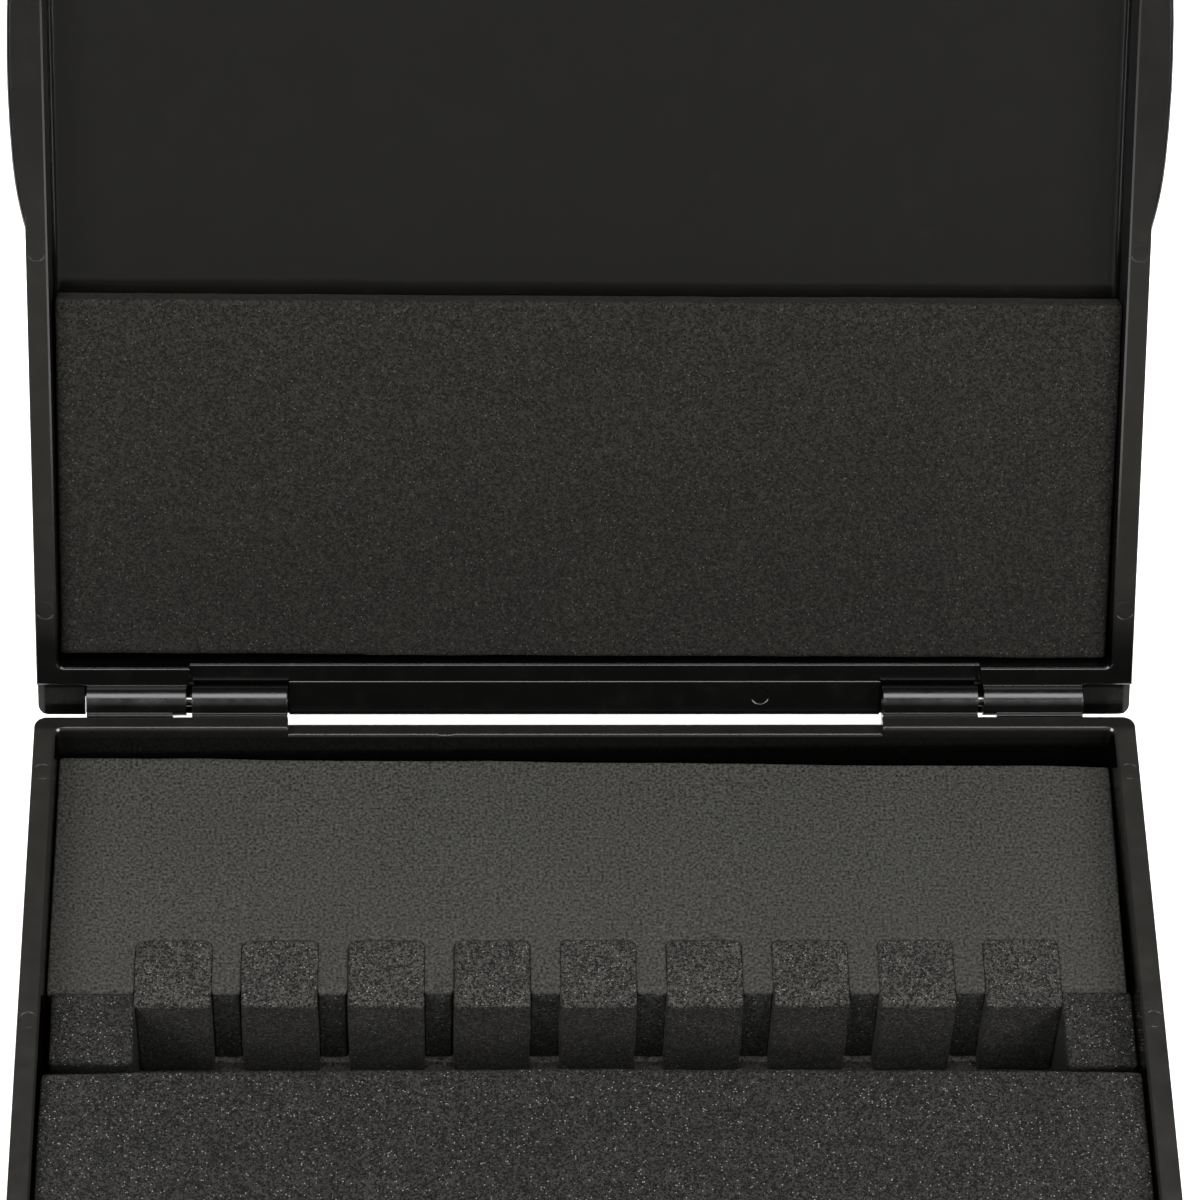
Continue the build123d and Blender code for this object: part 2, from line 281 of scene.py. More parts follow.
class StageSettings(PropertyGroup):
    """Camera, floor and lights."""

    camera_place: FloatVectorProperty(
        name="Camera place", description="Where the camera stands",
        default=(-0.01475, -0.25045, 0.43783), size=3, subtype="TRANSLATION", unit="LENGTH")
    camera_pitch: FloatProperty(
        name="Camera pitch", description="How far the camera looks down",
        default=math.radians(53.577), subtype="ANGLE")
    camera_yaw: FloatProperty(
        name="Camera yaw", description="How far the camera turns to the right",
        default=math.radians(1.448), subtype="ANGLE")
    camera_roll: FloatProperty(
        name="Camera roll", description="How far the camera leans to the left",
        default=math.radians(1.167), subtype="ANGLE")
    lens: FloatProperty(
        name="Lens", description="Focal length on a sensor 36 mm wide", default=150.0, min=10.0)
    shift: FloatProperty(
        name="Shift", description="Sideways shift of the frame, as a share of its width",
        default=0.07)
    key_power: FloatProperty(
        name="Key light", description="Power of the overhead softbox",
        default=10.0, min=0.0, unit="POWER")
    front_power: FloatProperty(
        name="Front light", description="Power of the wide front panel",
        default=1.25, min=0.0, unit="POWER")
    side_power: FloatProperty(
        name="Side lights", description="Power of each softbox beside the camera",
        default=13.0, min=0.0, unit="POWER")
    rear_power: FloatProperty(
        name="Rear light", description="Power of the low light behind the lid",
        default=2.8, min=0.0, unit="POWER")
    ambient: FloatProperty(
        name="Ambient", description="Brightness of the room", default=0.025, min=0.0)
    floor_glow: FloatProperty(
        name="Floor glow", description="Light that the lit floor gives of its own",
        default=0.28, min=0.0)


class CaseSettings(PropertyGroup):
    """All settings of the reed case."""

    plastic: PointerProperty(type=PlasticSettings)
    foam: PointerProperty(type=FoamSettings)
    stage: PointerProperty(type=StageSettings)


# Materials of the shells and pins

# Where the finish of a shell changes: each pair is where a soft step starts and where it ends
RIM_SKIN = (0.25 * MM, 0.8 * MM)
INNER_SIDE = (53.0 * MM, 53.5 * MM)
BARREL_START = (30.2 * MM, 30.4 * MM)
BARREL_REACH_SQUARED = (2.5, 3.0)

# How much rougher the polished plastic gets on some faces, and where it is uneven
WALL_ROUGHER = 0.2
BARREL_ROUGHER = 0.12
DRIFT_ROUGHER = 0.06
SMUDGE_ROUGHER = 0.08
BARREL_SMUDGE_ROUGHER = 0.16

# How much of the rubbed colour shows on the rims and in smudges, and as painted sheen on the roof
RIM_RUBBED = 0.75
RIM_SMUDGED = 0.5
SMUDGE_RUBBED = 0.1
ROOF_PAINTED_SHEEN = 0.1
SMUDGE_SHOWS = (0.55, 0.8)

# How much of the texture's height shows
ROOF_TEXTURE = 0.35
RIM_TEXTURE = 0.5
BARREL_TEXTURE = 0.8
DRIFT_HEIGHT = 0.10

# Sharper edges on the side walls, and softer ones on the base's rear wall
SIDE_SHARPER = 0.7
REAR_SOFTER = 0.9
EDGE_SAMPLES = 8

# The textured outside
OUTER_SHEEN = 0.2
OUTER_DARKEST = 0.85
OUTER_SMUDGED = 0.3
OUTER_UNEVEN = 0.1


def plastic_surface(shade, settings, outside, rim, roof=0.0, wall=0.0, rounding=1.0):
    """Black moulded plastic, textured where outside is 1 and polished elsewhere.

    The masks rim, roof and wall make the polished part duller on the rims, the lid's roof and the
    lid's inner side walls. The mask rounding scales the edge rounding that the light shows.
    """
    behind = shade.dot(BACK, HINGE) / MM
    above = shade.dot(UP, HINGE) / MM
    across = shade.dot(RIGHT).size()
    near_axis = 1 - (behind * behind + above * above).step(*BARREL_REACH_SQUARED)
    barrel = near_axis * across.step(*BARREL_START)
    grain = shade.noise(settings.grain, detail=3.0, roughness=0.6)
    drift = shade.noise(9 * MM, detail=3.0)
    smudge = shade.noise(2.4 * MM, detail=4.0, roughness=0.65)

    smudge_rougher = SMUDGE_ROUGHER + BARREL_SMUDGE_ROUGHER * barrel
    roughness = settings.polish + (settings.rim_satin - settings.polish) * rim
    roughness = roughness + (settings.roof_satin - settings.polish) * roof
    roughness = roughness + WALL_ROUGHER * wall + BARREL_ROUGHER * barrel
    roughness = roughness + DRIFT_ROUGHER * drift.swing() + smudge_rougher * smudge.swing()

    rubbed_and_sheen = rim * (RIM_RUBBED + RIM_SMUDGED * smudge.swing())
    # The roof's share of the rubbed colour is painted sheen
    rubbed_and_sheen = rubbed_and_sheen + SMUDGE_RUBBED * smudge.step(*SMUDGE_SHOWS) + ROOF_PAINTED_SHEEN * roof
    colour = shade.mix(rubbed_and_sheen, list(settings.colour) + [1.0], list(settings.rubbed_and_sheen) + [1.0])

    texture = outside + ROOF_TEXTURE * roof + RIM_TEXTURE * rim + BARREL_TEXTURE * barrel
    height = grain * texture + DRIFT_HEIGHT * drift
    radius = settings.edge_radius * (1 - SIDE_SHARPER * across.step(*INNER_SIDE)) * rounding
    edge = shade.node("ShaderNodeBevel", {"samples": EDGE_SAMPLES}, Radius=radius).out("Normal")
    normal = shade.bump(height, settings.grain_height, Normal=edge)

    polished = shade.node("ShaderNodeBsdfPrincipled", {}, Base_Color=colour, Roughness=roughness,
                          Normal=normal).out("BSDF")
    outer_colour = shade.scaled(list(settings.outer_colour), OUTER_DARKEST + OUTER_SMUDGED * smudge)
    textured = shade.node("ShaderNodeBsdfPrincipled", {}, Base_Color=outer_colour,
                          Roughness=settings.outer_satin + OUTER_UNEVEN * drift.swing(),
                          Specular_IOR_Level=OUTER_SHEEN, Normal=normal).out("BSDF")
    both = shade.node("ShaderNodeMixShader", {}, outside, polished, textured).out("Shader")
    return shade.finish(both)


def lid_plastic(settings):
    """Plastic of the lid: textured outside, satin roof, side walls and rims, polished hinge."""
    shade = Shade("lid_plastic")
    across = shade.dot(RIGHT).size()
    travel = shade.dot(LID_ALONG, HINGE)
    depth = shade.dot(LID_INTO, HINGE)
    below_rim = depth.step(*RIM_SKIN)

    outer_sides = across.step(55.2 * MM, 55.6 * MM)
    outer_front = travel.step(87.2 * MM, 87.5 * MM)
    outer_walls = outer_sides.atleast(outer_front) * below_rim
    outer_back = depth.step(1.5 * MM, 2.0 * MM) * (1 - travel.step(-1.9 * MM, -1.7 * MM))
    outer_roof = depth.step(LID_ROOF + 0.3 * MM, LID_ROOF + MM)
    outside = outer_walls.atleast(outer_back).atleast(outer_roof)

    roof = depth.step(LID_ROOF - 0.7 * MM, LID_ROOF - 0.1 * MM) * (1 - outside)
    wear = 0.75 - 0.45 * travel.step(40 * MM, 62 * MM)
    rim = (1 - below_rim) * travel.step(4.5 * MM, 12.0 * MM) * wear
    above_fillet = 1 - depth.step(LID_ROOF - 1.2 * MM, LID_ROOF - 0.8 * MM)
    inner_side = across.step(*INNER_SIDE) * (1 - outside) * below_rim * above_fillet
    past_hinge = travel.step(4.5 * MM, 9.0 * MM)
    return plastic_surface(shade, settings, outside, rim, roof, wall=inner_side * past_hinge)


def base_plastic(settings):
    """Plastic of the base: textured outer walls, satin rims, polished inside, hinge and underside."""
    shade = Shade("base_plastic")
    across = shade.dot(RIGHT).size()
    travel = HINGE.y - shade.dot(BACK)
    drop = HINGE.z - shade.dot(UP)
    below_rim = drop.step(*RIM_SKIN)

    outer_sides = across.step(55.3 * MM, 55.7 * MM)
    outer_front = travel.step(87.2 * MM, 87.6 * MM)
    outer_walls = outer_sides.atleast(outer_front) * below_rim
    outer_back = drop.step(2.5 * MM, 3.0 * MM) * (1 - travel.step(2.2 * MM, 2.4 * MM))
    outside = outer_walls.atleast(outer_back)

    side_rim = (1 - below_rim) * travel.step(2.6 * MM, 4.0 * MM)
    rear_wall = travel.step(1.9 * MM, 2.1 * MM) * (1 - travel.step(3.4 * MM, 3.8 * MM))
    rear_rim = rear_wall * (1 - drop.step(1.3 * MM, 1.5 * MM))
    rim = side_rim.atleast(0.5 * rear_rim)
    return plastic_surface(shade, settings, outside, rim, rounding=1 + REAR_SOFTER * rear_wall)


STEEL = (0.14, 0.13, 0.12, 1.0)
STEEL_LINES = (400.0, 9000.0, 9000.0)
STEEL_LINE_DEPTH = 2e-6
FILM_DARK = (0.42, 0.40, 0.34, 1.0)
FILM_PALE = (0.55, 0.53, 0.47, 1.0)


def pin_steel():
    """Bright drawn steel with fine lines along the wire."""
    shade = Shade("pin_steel")
    lines = shade.noise(1.0, detail=3.0, place=shade.stretched(STEEL_LINES))
    return shade.surface(Base_Color=STEEL, Metallic=1.0, Roughness=0.12 + 0.12 * lines,
                         Normal=shade.bump(lines, STEEL_LINE_DEPTH))


def adhesive():
    """Milky adhesive film."""
    shade = Shade("adhesive")
    haze = shade.noise(1.5 * MM, detail=3.0)
    colour = shade.mix(haze, FILM_DARK, FILM_PALE)
    return shade.surface(Base_Color=colour, Roughness=0.25 + 0.2 * haze)


# Materials of the foams

# The warp that makes cells uneven: its scale and its reach, for a cell of 1
WARP_SCALE = 0.8
WARP_REACH = 0.9

# How a cell's own number, its wall and its fine grain show in the height and in the light
OWN_HEIGHT = 0.35
WALL_HEIGHT = 0.35
FINE_HEIGHT = 0.5
OWN_LIGHT = 1.5
WALL_LIGHT = 0.9
FINE_LIGHT = 4.5
DARKEST = 0.12

# Depth of the cells in the bump
COARSE_DEPTH = 0.00008
FINE_DEPTH = 0.00005
SKIN_DEPTH = 0.00006

# Glints: cell windows that catch the light, painted into the colour as bright specks
PAINTED_GLINT = (0.11, 0.108, 0.10, 1.0)
SMALL_SPECK = 0.16 * MM
WIDE_SPECK = 0.2 * MM
SPECK_POLISH = 0.45

FOAM_ROUGHNESS = 0.92
FOAM_SHEEN = 0.15
SIDE_CONTRAST = 0.7


def open_cells(shade, cell, contrast):
    """Brightness and height of cut foam: each cell catches the light in its own way."""
    warp = shade.node("ShaderNodeTexNoise", {}, Vector=shade.place, Scale=WARP_SCALE / cell, Detail=1.0)
    offset = shade.scaled(warp.out("Color"), WARP_REACH * cell)
    moved = shade.node("ShaderNodeVectorMath", {"operation": "ADD"}, shade.place, offset)
    cells = shade.cells(cell, place=moved.out("Vector"))
    own = shade.own_number(cells)
    wall = cells.out("Distance").step(0.1, 0.8)
    fine = shade.noise(0.55 * cell, detail=3.0, roughness=0.7)
    height = OWN_HEIGHT * own + WALL_HEIGHT * wall + FINE_HEIGHT * fine
    swing = OWN_LIGHT * own.swing() + WALL_LIGHT * wall.swing() + FINE_LIGHT * fine.swing()
    return (1 + contrast * swing).atleast(DARKEST), height


def sparkle(shade, size, share):
    """A few painted glints: bright specks on a share of the cells of a size."""
    windows = shade.cells(size)
    chosen = shade.own_number(windows).step(1 - share, 1 - 0.4 * share)
    window = 1 - windows.out("Distance").step(0.3, 0.6)
    return chosen * window


def foam_surface(shade, colour, light, height, depth, glints):
    """Foam: a rough surface whose colour follows the cells, with painted glints as bright specks."""
    shaded = shade.scaled(list(colour), light)
    lit = shade.mix(glints, shaded, PAINTED_GLINT)
    return shade.surface(Base_Color=lit, Roughness=FOAM_ROUGHNESS - SPECK_POLISH * glints,
                         Specular_IOR_Level=FOAM_SHEEN, Normal=shade.bump(height, depth))


def coarse_foam(settings, name, paleness_and_light, top):
    """Open-cell foam of the pegs, end blocks and front block.

    Its sides show less contrast than its top face. They carry painted shade just below it, which turns
    to painted light towards their bottom.
    """
    shade = Shade(name)
    light, height = open_cells(shade, settings.coarse_cell, contrast=1.75)
    upper = shade.dot(UP).step(top - 0.5 * MM, top - 0.25 * MM)
    even = 1 + (light - 1) * (SIDE_CONTRAST + (1 - SIDE_CONTRAST) * upper)
    patch = 0.7 + 0.6 * shade.noise(4 * MM, detail=2.0)
    # Painted light and shade on the sides: darker just below the top and paler lower down, against the
    # shade in the trough
    side_light = 1.05 - 0.27 * shade.dot(UP).step(top - 12 * MM, top - MM)
    light = even * paleness_and_light * (side_light + (1 - side_light) * upper) * patch
    glints = sparkle(shade, SMALL_SPECK, share=0.05) * (0.6 + 0.4 * upper)
    return foam_surface(shade, settings.coarse_colour, light, height, COARSE_DEPTH, glints)


def pad_foam(settings):
    """Finer brownish foam of the pad in the lid, paler towards its front."""
    shade = Shade("pad_foam")
    light, height = open_cells(shade, settings.fine_cell, contrast=1.3)
    patch = shade.noise(12 * MM, detail=3.0)
    travel = shade.dot(LID_ALONG, HINGE)
    # Paler towards the lid's front, with soft patches
    pad_tone = 0.85 + 0.3 * travel.step(4 * MM, 42 * MM) + 0.3 * patch.swing()
    glints = 0.25 * sparkle(shade, SMALL_SPECK, share=0.04)
    return foam_surface(shade, settings.pad_colour, light * pad_tone, height, FINE_DEPTH, glints)


def smooth_foam(settings):
    """Rear block: a smooth skin on top, cut cells on the sides."""
    shade = Shade("smooth_foam")
    top = REAR_FOAM_HIGH.z
    skin = shade.dot(UP).step(top - 0.45 * MM, top - 0.15 * MM)
    cut_light, cut_height = open_cells(shade, settings.coarse_cell, contrast=1.3)
    forward = (REAR_FOAM_HIGH.y - shade.dot(BACK)).step(0.0, 22 * MM)
    fine = shade.noise(1.3 * settings.fine_cell, detail=3.0, roughness=0.6)
    patch = shade.noise(14 * MM, detail=3.0)
    skin_light = 0.9 + 0.12 * forward + 4.6 * fine.swing() + 0.25 * patch.swing()
    light = skin_light * skin + 0.66 * cut_light * (1 - skin)
    height = fine * 0.35 * skin + cut_height * (1 - skin)
    glints = sparkle(shade, WIDE_SPECK, share=0.05) * (0.9 - 0.85 * skin)
    return foam_surface(shade, settings.smooth_colour, light, height, SKIN_DEPTH, glints)


def liner_foam(settings):
    """Thin sheet under the foam, with a painted light strip where it shows beside the rear block and
    painted shade in front of it.
    """
    shade = Shade("liner_foam")
    light, height = open_cells(shade, settings.fine_cell, contrast=0.8)
    # Painted light on the strip next to the rear block, painted shade on the trough floor in front of
    # it
    painted_light_strip = shade.dot(BACK).step(REAR_FOAM_LOW.y - 0.7 * MM, REAR_FOAM_LOW.y - 0.4 * MM)
    light = light * (0.4 + painted_light_strip)
    glints = sparkle(shade, WIDE_SPECK, share=0.01)
    return foam_surface(shade, settings.liner_colour, light, height, FINE_DEPTH, glints)


# Geometry of the foams

ONES = (1.0, 1.0, 1.0)
MERGE_DISTANCE = 0.002 * MM
LINER_PITCH = 1.5 * MM
FLAT_ANGLE = math.radians(1)


def tree_input(tree, name, kind, value=None):
    """Add a named input to a geometry tree."""
    socket = tree.interface.new_socket(name, in_out="INPUT", socket_type=kind)
    if value is not None:
        socket.default_value = value
    return socket.identifier


class Nodes:
    """Builds a geometry node tree."""

    def __init__(self, name):
        self.tree = bpy.data.node_groups.new(name, "GeometryNodeTree")

    def add(self, kind, settings, **links):
        """Make a node: settings are set first, then its sockets by name, or i and a number."""
        node = self.tree.nodes.new(kind)
        for key, value in settings.items():
            setattr(node, key, value)
        for key, value in links.items():
            which = int(key[1:]) if key[1:].isdigit() else key.replace("_", " ")
            socket = node.inputs[which]
            if isinstance(value, bpy.types.NodeSocket):
                self.tree.links.new(value, socket)
            else:
                socket.default_value = value
        return node

    def calculate(self, operation, first, second):
        """A Math node's result."""
        return self.add("ShaderNodeMath", {"operation": operation}, i0=first, i1=second).outputs[0]

    def vector(self, operation, first, second):
        """A Vector Math node's result."""
        node = self.add("ShaderNodeVectorMath", {"operation": operation}, i0=first, i1=second)
        return node.outputs["Vector"]

    def scaled(self, vector, amount):
        """A vector times a number."""
        node = self.add("ShaderNodeVectorMath", {"operation": "SCALE"}, i0=vector, Scale=amount)
        return node.outputs["Vector"]


def foam_skin_tree():
    """Foam skin: pushes a block's faces in and out in waves and grains, and crowns them."""
    nodes = Nodes("Foam skin")
    tree = nodes.tree
    tree.interface.new_socket("Geometry", in_out="OUTPUT", socket_type="NodeSocketGeometry")
    sockets = {
        "Geometry": ("NodeSocketGeometry", None),
        "Wave depth": ("NodeSocketFloat", 0.1 * MM),
        "Wave size": ("NodeSocketFloat", 8 * MM),
        "Grain depth": ("NodeSocketFloat", 0.04 * MM),
        "Grain size": ("NodeSocketFloat", 1 * MM),
        "Crown": ("NodeSocketVector", ORIGIN),
        "Centre": ("NodeSocketVector", ORIGIN),
        "Half size": ("NodeSocketVector", ONES),
        "Swell": ("NodeSocketFloat", 0.0),
        "Seed": ("NodeSocketFloat", 0.0),
        "Material": ("NodeSocketMaterial", None),
    }
    ids = {name: tree_input(tree, name, kind, value) for name, (kind, value) in sockets.items()}
    given = nodes.add("NodeGroupInput", {}).outputs
    place = nodes.add("GeometryNodeInputPosition", {}).outputs["Position"]
    normal = nodes.add("GeometryNodeInputNormal", {}).outputs["Normal"]

    push = given["Swell"]
    for kind in ("Wave", "Grain"):
        scale = nodes.calculate("DIVIDE", 1.0, given[f"{kind} size"])
        noise = nodes.add("ShaderNodeTexNoise", {"noise_dimensions": "4D"}, Vector=place,
                          W=given["Seed"], Scale=scale, Detail=2.0)
        centred = nodes.calculate("SUBTRACT", noise.outputs[0], 0.5)
        swing = nodes.calculate("MULTIPLY", centred, 2.0)
        moved = nodes.calculate("MULTIPLY", swing, given[f"{kind} depth"])
        push = nodes.calculate("ADD", push, moved)
    along = nodes.scaled(normal, push)

    # The crown is full in the middle of a face and falls to nothing at its edges
    reach = nodes.vector("DIVIDE", nodes.vector("SUBTRACT", place, given["Centre"]), given["Half size"])
    square = nodes.vector("MULTIPLY", reach, reach)
    facing = nodes.vector("ABSOLUTE", normal, ORIGIN)
    sideways = nodes.vector("SUBTRACT", ONES, facing)
    fall = nodes.vector("SUBTRACT", ONES, nodes.vector("MULTIPLY", square, sideways))
    parts = nodes.add("ShaderNodeSeparateXYZ", {}, Vector=fall).outputs
    weight = nodes.calculate("MULTIPLY", nodes.calculate("MULTIPLY", parts[0], parts[1]), parts[2])
    crown = nodes.scaled(nodes.vector("MULTIPLY", normal, given["Crown"]), weight)

    offset = nodes.vector("ADD", along, crown)
    pushed = nodes.add("GeometryNodeSetPosition", {}, Geometry=given["Geometry"], Offset=offset)
    smooth = nodes.add("GeometryNodeSetShadeSmooth", {}, Geometry=pushed.outputs[0])
    real = nodes.add("GeometryNodeRealizeInstances", {}, Geometry=smooth.outputs[0])
    painted = nodes.add("GeometryNodeSetMaterial", {}, Geometry=real.outputs[0],
                        Material=given["Material"])
    nodes.add("NodeGroupOutput", {}, Geometry=painted.outputs[0])
    return tree, ids


def link(piece):
    """Put a new piece in the scene."""
    bpy.context.scene.collection.objects.link(piece)
    return piece


def merged_copy(node):
    """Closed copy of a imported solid, with its loose triangles merged."""
    mesh = frame["nodes"][node].data.copy()
    shape = bmesh.new()
    shape.from_mesh(mesh)
    bmesh.ops.remove_doubles(shape, verts=shape.verts, dist=MERGE_DISTANCE)
    shape.to_mesh(mesh)
    shape.free()
    mesh.materials.clear()
    return mesh


def baked(piece):
    """Turn a piece's modifiers into its plain mesh."""
    graph = bpy.context.evaluated_depsgraph_get()
    mesh = bpy.data.meshes.new_from_object(piece.evaluated_get(graph), depsgraph=graph)
    piece.modifiers.clear()
    old = piece.data
    piece.data = mesh
    bpy.data.meshes.remove(old)
    return piece


def carve_foam(name, node, pitch, skin, material, body="base"):
    """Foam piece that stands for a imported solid: remeshed, edges rounded, and given a skin."""
    piece = link(bpy.data.objects.new(name, merged_copy(node)))
    remesh = piece.modifiers.new("Even mesh", "REMESH")
    remesh.mode = "VOXEL"
    remesh.voxel_size = pitch
    smooth = piece.modifiers.new("Soft edges", "SMOOTH")
    smooth.iterations = 1
    smooth.factor = 0.5
    baked(piece)
    tree, ids = foam_skin_tree()
    skinned = piece.modifiers.new("Foam skin", "NODES")
    skinned.node_group = tree
    low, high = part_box(node)
    skin = {"Centre": (low + high) / 2, "Half size": (high - low) / 2, "Material": material, **skin}
    for key, value in skin.items():
        skinned[ids[key]] = value
    baked(piece)
    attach(piece, body)
    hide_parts(node)
    return piece


def paint(node, material):
    """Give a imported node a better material."""
    for held in frame["nodes"][node].material_slots:
        held.material = material


class REEDCASE_OT_shells(Operator):
    """Finish the two moulded shells"""

    bl_idname = "reed_case.shells"
    bl_label = "Finish the shells"

    def execute(self, context):
        settings = context.scene.reed_case.plastic
        paint("lid_shell", lid_plastic(settings))
        paint("base_shell", base_plastic(settings))
        return {"FINISHED"}


class REEDCASE_OT_hinge_pins(Operator):
    """Finish the hinge pins and the adhesive film"""

    bl_idname = "reed_case.hinge_pins"
    bl_label = "Finish the pins and film"

    def execute(self, context):
        steel = pin_steel()
        for side in ("left", "right"):
            paint(f"hinge_pin_{side}", steel)
        paint("lid_pad_adhesive", adhesive())
        return {"FINISHED"}


class REEDCASE_OT_rear_foam(Operator):
    """Make the smooth foam block with its nine notches"""

    bl_idname = "reed_case.rear_foam"
    bl_label = "Make the rear foam"

    def execute(self, context):
        skin = {"Wave depth": 0.12 * MM, "Wave size": 9 * MM, "Grain depth": 0.02 * MM,
                "Grain size": 0.9 * MM, "Swell": 0.03 * MM, "Seed": 3.0}
        material = smooth_foam(context.scene.reed_case.foam)
        carve_foam("rear_foam", "rear_foam_block", 0.32 * MM, skin, material)
        return {"FINISHED"}


class REEDCASE_OT_pegs(Operator):
    """Make the nine coarse foam pegs"""

    bl_idname = "reed_case.pegs"
    bl_label = "Make the pegs"

    def execute(self, context):
        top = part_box(PEGS[0])[1].z
        # The pegs' higher paleness is partly their own tone and partly painted light
        material = coarse_foam(context.scene.reed_case.foam, "peg_foam", paleness_and_light=1.64, top=top)
        for index, node in enumerate(PEGS):
            skin = {"Wave depth": 0.14 * MM, "Wave size": 5 * MM, "Grain depth": 0.06 * MM,
                    "Grain size": 0.7 * MM, "Crown": (0.04 * MM, 0.08 * MM, 0.12 * MM),
                    "Swell": 0.05 * MM, "Seed": 10.0 + index}
            name = node.replace("foam_peg", "peg")
            carve_foam(name, node, 0.22 * MM, skin, material)
        return {"FINISHED"}


class REEDCASE_OT_coarse_blocks(Operator):
    """Make the coarse end blocks and the front block"""

    bl_idname = "reed_case.coarse_blocks"
    bl_label = "Make the coarse blocks"

    def execute(self, context):
        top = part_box("end_block_left")[1].z
        # The blocks' lower paleness is partly their own tone and partly painted shade
        material = coarse_foam(context.scene.reed_case.foam, "block_foam", paleness_and_light=0.88, top=top)
        skin = {"Wave depth": 0.18 * MM, "Wave size": 7 * MM, "Grain depth": 0.07 * MM,
                "Grain size": 0.8 * MM}
        for index, side in enumerate(("left", "right")):
            end_skin = {**skin, "Swell": 0.06 * MM, "Seed": 30.0 + index}
            carve_foam(f"end_foam_{side}", f"end_block_{side}", 0.22 * MM, end_skin, material)
        front_skin = {**skin, "Seed": 40.0}
        carve_foam("front_foam", "front_foam_block", 0.4 * MM, front_skin, material)
        return {"FINISHED"}


class REEDCASE_OT_liner(Operator):
    """Make the thin sheet under the foam"""

    bl_idname = "reed_case.liner"
    bl_label = "Make the liner"

    def execute(self, context):
        low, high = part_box("floor_liner")
        piece = link(bpy.data.objects.new("liner", merged_copy("floor_liner")))
        shape = bmesh.new()
        shape.from_mesh(piece.data)
        bmesh.ops.dissolve_limit(shape, angle_limit=FLAT_ANGLE, verts=shape.verts, edges=shape.edges)
        for axis, direction in enumerate((RIGHT, BACK)):
            length = high[axis] - low[axis]
            count = round(length / LINER_PITCH)
            normal = Vector(direction)
            for index in range(1, count):
                place = low + normal * (length * index / count)
                bmesh.ops.bisect_plane(shape, geom=shape.verts[:] + shape.edges[:] + shape.faces[:],
                                       plane_co=place, plane_no=normal)
        shape.to_mesh(piece.data)
        shape.free()
        piece.data.materials.append(liner_foam(context.scene.reed_case.foam))
        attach(piece, "base")
        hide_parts("floor_liner")
        return {"FINISHED"}


class REEDCASE_OT_lid_pad(Operator):
    """Make the foam pad in the lid"""

    bl_idname = "reed_case.lid_pad"
    bl_label = "Make the lid pad"

    def execute(self, context):
        skin = {"Wave depth": 0.16 * MM, "Wave size": 10 * MM, "Grain depth": 0.05 * MM,
                "Grain size": 0.9 * MM, "Seed": 50.0}
        material = pad_foam(context.scene.reed_case.foam)
        carve_foam("lid_pad", "lid_foam_pad", 0.36 * MM, skin, material, body="lid")
        return {"FINISHED"}


# Stage

PAPER = (0.80, 0.80, 0.80, 1.0)
FLOOR_HALF = 3.0
WARM_WHITE = (1.0, 0.985, 0.90)
SENSOR_WIDTH = 36.0
NEAREST_SEEN = 0.01


def area_light(name, place, target, size, power, colour=WHITE):
    """Soft rectangular light at a place, pointed at a target."""
    light = bpy.data.lights.new(name, "AREA")
    light.shape = "RECTANGLE"
    light.size, light.size_y = size
    light.energy = power
    light.color = colour
    lamp = link(bpy.data.objects.new(name, light))
    lamp.location = place
    lamp.rotation_euler = (Vector(target) - Vector(place)).to_track_quat("-Z", "Y").to_euler()
    return lamp


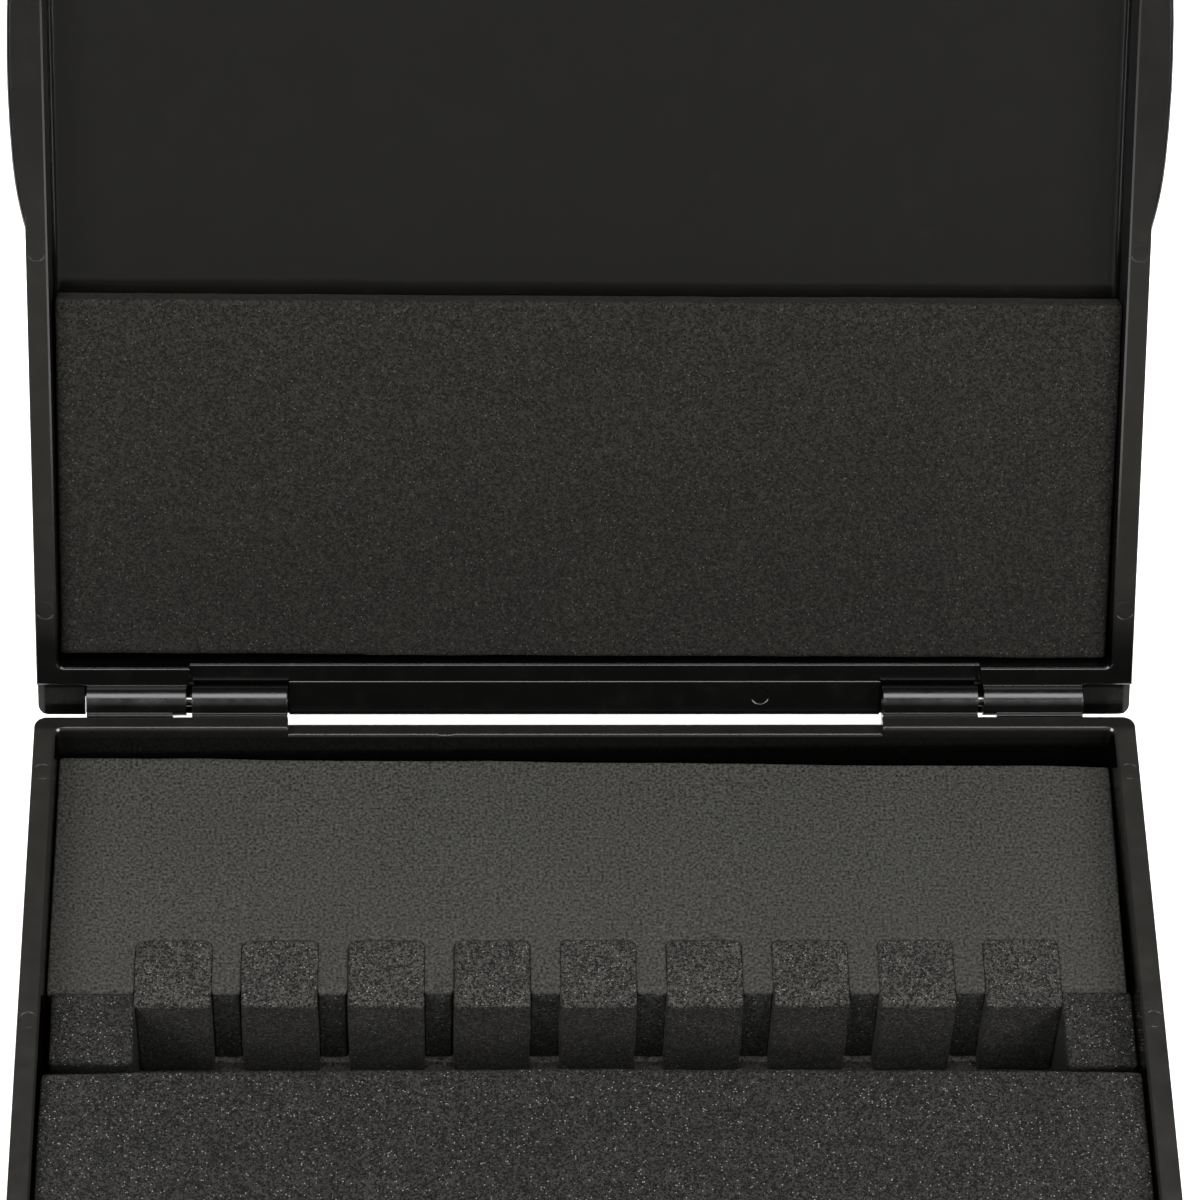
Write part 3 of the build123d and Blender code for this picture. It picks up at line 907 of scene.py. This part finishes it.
class REEDCASE_OT_stage(Operator):
    """Set up the floor, the lights and the camera"""

    bl_idname = "reed_case.stage"
    bl_label = "Set the stage"

    def execute(self, context):
        settings = context.scene.reed_case.stage
        floor_mesh = bpy.data.meshes.new("floor")
        signs = ((-1, -1), (1, -1), (1, 1), (-1, 1))
        corners = [(FLOOR_HALF * right, FLOOR_HALF * back, 0) for right, back in signs]
        floor_mesh.from_pydata(corners, [], [(0, 1, 2, 3)])
        shade = Shade("floor_paper")
        floor_mesh.materials.append(shade.surface(
            Base_Color=PAPER, Roughness=0.9,
            Emission_Color=(*WHITE, 1.0), Emission_Strength=settings.floor_glow))
        link(bpy.data.objects.new("floor", floor_mesh))

        world = bpy.data.worlds.new("room")
        world.use_nodes = True
        background = world.node_tree.nodes["Background"].inputs
        background["Strength"].default_value = settings.ambient
        background["Color"].default_value = (*WHITE, 1.0)
        context.scene.world = world
        context.scene.view_settings.view_transform = "Standard"

        area_light("overhead_softbox", place=(0.0, 0.05, 0.80), target=(0.0, 0.05, 0.0),
                   size=(0.95, 0.42), power=settings.key_power)
        area_light("front_panel", place=(0.0, -1.20, 0.84), target=(0.0, 0.0, 0.84),
                   size=(1.6, 0.73), power=settings.front_power, colour=WARM_WHITE)
        for side in (-1, 1):
            area_light("side_softbox", place=(0.55 * side, -0.50, 0.70), target=(0.0, 0.0, 0.02),
                       size=(0.5, 0.5), power=settings.side_power)
        area_light("rear_light", place=(0.0, 0.35, 0.12), target=(0.0, 0.06, 0.0),
                   size=(0.3, 0.1), power=settings.rear_power)

        camera = bpy.data.cameras.new("photo_camera")
        camera.sensor_width = SENSOR_WIDTH
        camera.lens = settings.lens
        camera.shift_x = settings.shift
        camera.clip_start = NEAREST_SEEN
        eye = link(bpy.data.objects.new("photo_camera", camera))
        turn = Matrix.Rotation(-settings.camera_yaw, 4, "Z")
        turn = turn @ Matrix.Rotation(math.pi / 2 - settings.camera_pitch, 4, "X")
        turn = turn @ Matrix.Rotation(settings.camera_roll, 4, "Z")
        eye.matrix_world = Matrix.Translation(settings.camera_place) @ turn
        context.scene.camera = eye
        return {"FINISHED"}


class REEDCASE_PT_build(Panel):
    """Settings and steps of the reed case"""

    bl_label = "Reed case"
    bl_idname = "REEDCASE_PT_build"
    bl_space_type = "VIEW_3D"
    bl_region_type = "UI"
    bl_category = "Reed case"

    def draw(self, context):
        layout = self.layout
        for group in ("plastic", "foam", "stage"):
            held = getattr(context.scene.reed_case, group)
            box = layout.box()
            box.label(text=group.capitalize())
            for key in held.__annotations__:
                box.prop(held, key)
        for step in STEPS:
            layout.operator(step.bl_idname)


STEPS = (
    REEDCASE_OT_stage,
    REEDCASE_OT_shells,
    REEDCASE_OT_hinge_pins,
    REEDCASE_OT_liner,
    REEDCASE_OT_rear_foam,
    REEDCASE_OT_pegs,
    REEDCASE_OT_coarse_blocks,
    REEDCASE_OT_lid_pad,
)
SETTINGS = (PlasticSettings, FoamSettings, StageSettings, CaseSettings)


def register():
    """Register the settings, the steps and the panel."""
    for kind in SETTINGS + STEPS + (REEDCASE_PT_build,):
        bpy.utils.register_class(kind)
    bpy.types.Scene.reed_case = PointerProperty(type=CaseSettings)


def unregister():
    """Remove what register added."""
    del bpy.types.Scene.reed_case
    for kind in reversed(SETTINGS + STEPS + (REEDCASE_PT_build,)):
        bpy.utils.unregister_class(kind)


def main():
    """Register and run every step."""
    register()
    for step in STEPS:
        group, name = step.bl_idname.split(".")
        getattr(getattr(bpy.ops, group), name)()


if __name__ == "__main__":
    main()
